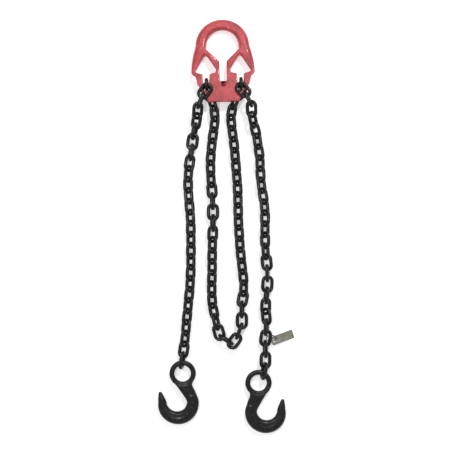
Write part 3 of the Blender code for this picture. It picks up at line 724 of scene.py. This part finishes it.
def hook_mesh():
    """The forged hook: tapered oval body with a ball-ended point, and the round eye."""
    rows = smooth_spine()[NECK_TRIM:]
    hidden_end = [min(1.0, 0.5 + 0.5 * index / SPINE_STEPS) for index in range(len(rows))]
    widths = [row[3] / HOOK_BASE * share for row, share in zip(rows, hidden_end)]
    curve = tube_curve("hook_body", [row.to_3d() for row in rows], HOOK_BASE, 8, widths=widths)
    body = curve_to_mesh(curve, "hook_body")
    body.transform(Matrix.Diagonal((1.0, 1.0, HOOK_FLATNESS, 1.0)))
    circle = [(x, y, 0.0) for x, y in arc(0.0, 0.0, radius_of_eye(), 0.0, 354.0, 59)]
    eye = curve_to_mesh(tube_curve("hook_eye", circle, HOOK_EYE_RADIAL / 2, 8, cyclic=True), "hook_eye")
    eye.transform(Matrix.Diagonal((1.0, 1.0, HOOK_EYE_THICKNESS / HOOK_EYE_RADIAL, 1.0)))
    return thin_out(flute(fuse("hook", [body, neck_mesh(), eye], HOOK_VOXEL, 12)))


def neck_mesh():
    """The flared neck that runs from both sides of the eye down into the shank."""
    under_eye = arc(0.0, 0.0, radius_of_eye(), 200.0, 338.0, 24)
    right = [(28.6, -18.5), (25.6, -25.5), (25.6, -31.5), (28.6, -38.5)]
    right += [(33.0, -46.5), (37.0, -56.5), (30.0, -70.0)]
    left = [(9.0, -68.5), (1.0, -57.0), (-7.0, -45.5), (-15.0, -34.5), (-23.5, -24.0), (-30.5, -14.5)]
    outline = under_eye + [(x * MM, y * MM) for x, y in right + left]
    curve = outline_curve("neck", [outline], NECK_THICKNESS, 0.38 * NECK_THICKNESS)
    curve.bevel_resolution = 4
    return curve_to_mesh(curve, "neck")


def radius_of_eye():
    return HOOK_EYE_RADIUS + HOOK_EYE_RADIAL / 2


def flute(mesh):
    """A shallow groove along the middle of the bowl on both faces, deepest at its foot."""
    for vertex in mesh.vertices:
        x, y, z = vertex.co - BOWL_CENTRE
        off_line = (math.hypot(x, y) - FLUTE_RADIUS) / FLUTE_WIDTH
        foot = max(-y, 0.0) / math.hypot(x, y)
        depth = FLUTE_DEPTH * math.exp(-(off_line**2)) * foot**2
        vertex.co.z -= math.copysign(min(depth, abs(z)), z)
    return mesh


def add_hooks(legs, material):
    for side in SIDES:
        mesh = hook_mesh()
        if side == "right":
            mesh.transform(Matrix.Diagonal((-1.0, 1.0, 1.0, 1.0)))
            mesh.flip_normals()
        place = hook_place(side, legs[side][-1])
        add_piece(f"{side}_hook_fine", mesh, place, material, f"{side}_hook")


# ---------------------------------------------------------------- tag
def add_tag_pieces(link, metal, border_metal, ring_metal):
    place = ring_matrix(link)
    circle = [(x, y, 0.0) for x, y in arc(0.0, 0.0, RING_RADIUS, 0.0, 355.0, 71)]
    ring = curve_to_mesh(tube_curve("ring", circle, 0.47 * RING_WIRE, 5, cyclic=True), "ring")
    add_piece("tag_ring_fine", ring, place, ring_metal, "tag_ring")
    plate_curve = outline_curve("plate", tag_outlines(), TAG_THICKNESS * 0.7, 0.25 * MM)
    plate_curve.bevel_resolution = 2
    add_piece("tag_plate", curve_to_mesh(plate_curve, "plate"), tag_matrix(place), metal, "tag")
    outside = tag_outlines()[0]
    middle = Vector((TAG_LENGTH / 2 - TAG_HOLE_INSET, 0.0))
    shrink = (1 - 2 * TAG_BORDER / TAG_LENGTH, 1 - 2 * TAG_BORDER / TAG_WIDTH)
    inside = [((x - middle.x) * shrink[0] + middle.x, y * shrink[1]) for x, y in outside]
    border_curve = outline_curve("border", [outside, inside], TAG_THICKNESS, 0.2 * MM)
    border_curve.bevel_resolution = 2
    border = curve_to_mesh(border_curve, "border")
    add_piece("tag_border", border, tag_matrix(place), border_metal, "tag")


# ---------------------------------------------------------------- materials
def new_material(name, metallic, specular=0.5, coat=0.0, coat_roughness=0.1):
    material = bpy.data.materials.new(name)
    material.use_nodes = True
    shader = material.node_tree.nodes["Principled BSDF"]
    shader.inputs["Metallic"].default_value = metallic
    shader.inputs["Specular IOR Level"].default_value = specular
    shader.inputs["Coat Weight"].default_value = coat
    shader.inputs["Coat Roughness"].default_value = coat_roughness
    return material


def noise(material, scale, detail=4.0, stretch=(1.0, 1.0, 1.0)):
    """A noise texture in the piece's own metres."""
    nodes, links = material.node_tree.nodes, material.node_tree.links
    place = nodes.new("ShaderNodeTexCoord")
    mapping = nodes.new("ShaderNodeMapping")
    mapping.inputs["Scale"].default_value = stretch
    texture = nodes.new("ShaderNodeTexNoise")
    texture.inputs["Scale"].default_value = scale
    texture.inputs["Detail"].default_value = detail
    links.new(place.outputs["Object"], mapping.inputs["Vector"])
    links.new(mapping.outputs["Vector"], texture.inputs["Vector"])
    return texture.outputs["Fac"]


def ramp(material, value, stops):
    """A colour ramp over a value; stops are (position, colour)."""
    node = material.node_tree.nodes.new("ShaderNodeValToRGB")
    elements = node.color_ramp.elements
    for element, (position, colour) in zip(elements, (stops[0], stops[-1])):
        element.position = position
        element.color = (*colour, 1.0)
    for position, colour in stops[1:-1]:
        elements.new(position).color = (*colour, 1.0)
    material.node_tree.links.new(value, node.inputs["Fac"])
    return node.outputs["Color"]


def span(material, value, low, high):
    """A value from 0.3 to 0.7 spread over low to high."""
    node = material.node_tree.nodes.new("ShaderNodeMapRange")
    node.inputs["From Min"].default_value = 0.3
    node.inputs["From Max"].default_value = 0.7
    node.inputs["To Min"].default_value = low
    node.inputs["To Max"].default_value = high
    material.node_tree.links.new(value, node.inputs["Value"])
    return node.outputs["Result"]


def bump(material, heights):
    """Bumps one over another; heights are (value, distance)."""
    nodes, links = material.node_tree.nodes, material.node_tree.links
    normal = None
    for value, distance in heights:
        node = nodes.new("ShaderNodeBump")
        node.inputs["Distance"].default_value = distance
        node.inputs["Strength"].default_value = 1.0
        links.new(value, node.inputs["Height"])
        if normal is not None:
            links.new(normal, node.inputs["Normal"])
        normal = node.outputs["Normal"]
    links.new(normal, nodes["Principled BSDF"].inputs["Normal"])


def finish_material(material, colour, roughness, heights):
    links = material.node_tree.links
    shader = material.node_tree.nodes["Principled BSDF"]
    links.new(colour, shader.inputs["Base Color"])
    links.new(roughness, shader.inputs["Roughness"])
    bump(material, heights)
    return material


def red_paint(name, shade, gloss):
    """Red paint over a sand-cast surface; shade darkens it and gloss is its shine. Low shade values make the
    pocket's painted shade.
    """
    material = new_material(name, 0.0, specular=gloss, coat=0.7 * gloss, coat_roughness=0.12)
    blotch = noise(material, 38.0, 5.0)
    grain = noise(material, 900.0, 3.0)
    cast = noise(material, 240.0, 4.0)
    tones = [(0.34, (0.29, 0.011, 0.017)), (0.5, (0.44, 0.022, 0.032)), (0.66, (0.52, 0.036, 0.048))]
    stops = [(position, tuple(shade * part for part in tone)) for position, tone in tones]
    colour = ramp(material, blotch, stops)
    roughness = span(material, cast, 0.28, 0.46)
    return finish_material(material, colour, roughness, [(cast, 0.0016), (grain, 0.0003)])


def chain_lacquer():
    material = new_material("chain_lacquer", 0.0, specular=0.2, coat=0.22, coat_roughness=0.1)
    wear = noise(material, 210.0, 6.0)
    lumps = noise(material, 480.0, 4.0)
    stops = [(0.3, (0.003, 0.003, 0.003)), (0.6, (0.006, 0.006, 0.006)), (0.72, (0.04, 0.039, 0.037))]
    colour = ramp(material, wear, stops)
    roughness = span(material, lumps, 0.2, 0.4)
    return finish_material(material, colour, roughness, [(lumps, 0.0006), (wear, 0.0004)])


def forged_black():
    material = new_material("forged_black", 0.0, specular=0.25, coat=0.15, coat_roughness=0.2)
    scale = noise(material, 130.0, 6.0)
    grain = noise(material, 800.0, 3.0)
    stops = [(0.32, (0.004, 0.004, 0.004)), (0.6, (0.008, 0.008, 0.008)), (0.74, (0.03, 0.029, 0.028))]
    colour = ramp(material, scale, stops)
    roughness = span(material, scale, 0.3, 0.48)
    return finish_material(material, colour, roughness, [(scale, 0.0008), (grain, 0.00015)])


def brushed_plate(name, dark, light):
    material = new_material(name, 0.55)
    brush = noise(material, 60.0, 6.0, (1.0, 22.0, 1.0))
    stain = noise(material, 90.0, 4.0)
    colour = ramp(material, stain, [(0.35, dark), (0.65, light)])
    roughness = span(material, brush, 0.38, 0.6)
    return finish_material(material, colour, roughness, [(brush, 0.00012), (stain, 0.0002)])


def floor_material():
    material = new_material("floor_paper", 0.0, specular=0.0)
    shader = material.node_tree.nodes["Principled BSDF"]
    shader.inputs["Base Color"].default_value = (0.8, 0.8, 0.8, 1.0)
    shader.inputs["Roughness"].default_value = 0.9
    shader.inputs["Emission Color"].default_value = (1.0, 1.0, 1.0, 1.0)
    shader.inputs["Emission Strength"].default_value = 0.4
    return material


# ---------------------------------------------------------------- stage
def add_floor():
    mesh = bpy.data.meshes.new("floor")
    shape = bmesh.new()
    bmesh.ops.create_grid(shape, x_segments=1, y_segments=1, size=FLOOR_SIZE / 2)
    shape.to_mesh(mesh)
    shape.free()
    floor = bpy.data.objects.new("floor", mesh)
    floor.location.z = -0.0002
    bpy.context.scene.collection.objects.link(floor)
    mesh.materials.append(floor_material())


def add_area_light(name, place, size, power, target=(0.0, 0.0, 0.0)):
    light = bpy.data.lights.new(name, "AREA")
    light.shape = "DISK"
    light.size = size
    light.energy = power
    obj = bpy.data.objects.new(name, light)
    obj.location = place
    obj.rotation_euler = (Vector(target) - Vector(place)).to_track_quat("-Z", "Y").to_euler()
    bpy.context.scene.collection.objects.link(obj)


def add_lights():
    world = bpy.data.worlds.new("studio")
    world.use_nodes = True
    background = world.node_tree.nodes["Background"]
    background.inputs["Color"].default_value = (1.0, 1.0, 1.0, 1.0)
    background.inputs["Strength"].default_value = 0.55
    bpy.context.scene.world = world
    add_area_light("key", (0.5, 1.25, 1.7), 0.22, 24.0, (0.0, 0.2, 0.0))
    add_area_light("fill", (-0.45, 0.1, 1.8), 0.2, 9.0)
    bpy.context.scene.view_settings.view_transform = "Standard"


def add_camera():
    data = bpy.data.cameras.new("camera")
    data.sensor_width = SENSOR_WIDTH
    data.lens = SENSOR_WIDTH * CAMERA_HEIGHT / VIEW_WIDTH
    data.clip_end = 20.0
    camera = bpy.data.objects.new("camera", data)
    camera.location = CAMERA_AIM + Vector((0.0, 0.0, CAMERA_HEIGHT))
    bpy.context.scene.collection.objects.link(camera)
    bpy.context.scene.camera = camera


# ---------------------------------------------------------------- the scene
def build():
    add_camera()
    add_lights()
    add_floor()
    chain = chain_lacquer()
    fine_link = link_mesh()
    fine_link.materials.append(chain)
    legs = {side: leg_matrices(side, sum(LEG_GROUPS[side])) for side in SIDES}
    for side in SIDES:
        slot_node = f"{side}_slot_link"
        add_piece(f"{side}_slot_link_fine", fine_link, slot_link_matrix(side), chain, slot_node)
        add_chain(f"{side}_leg", legs[side], LEG_GROUPS[side], fine_link, chain)
    add_chain("loop", loop_matrices(), LOOP_GROUPS, fine_link, chain)
    head_red = red_paint("red_paint", 0.86, 0.5)
    add_piece("head_fine", head_mesh(), head_matrix(), head_red, "head_plate")
    # The pocket's two red paints are painted shade: darker red on its floor and near black in its hollow.
    add_recess_painted_shade(red_paint("recess_shade_paint", 0.3, 0.1), red_paint("hollow_shadow_paint", 0.02, 0.0))
    add_hooks(legs, forged_black())
    plate = brushed_plate("tag_plate_metal", (0.21, 0.195, 0.165), (0.3, 0.285, 0.245))
    border = brushed_plate("tag_border_metal", (0.05, 0.045, 0.04), (0.12, 0.11, 0.095))
    add_tag_pieces(legs["right"][RING_LINK], plate, border, forged_black())


build()
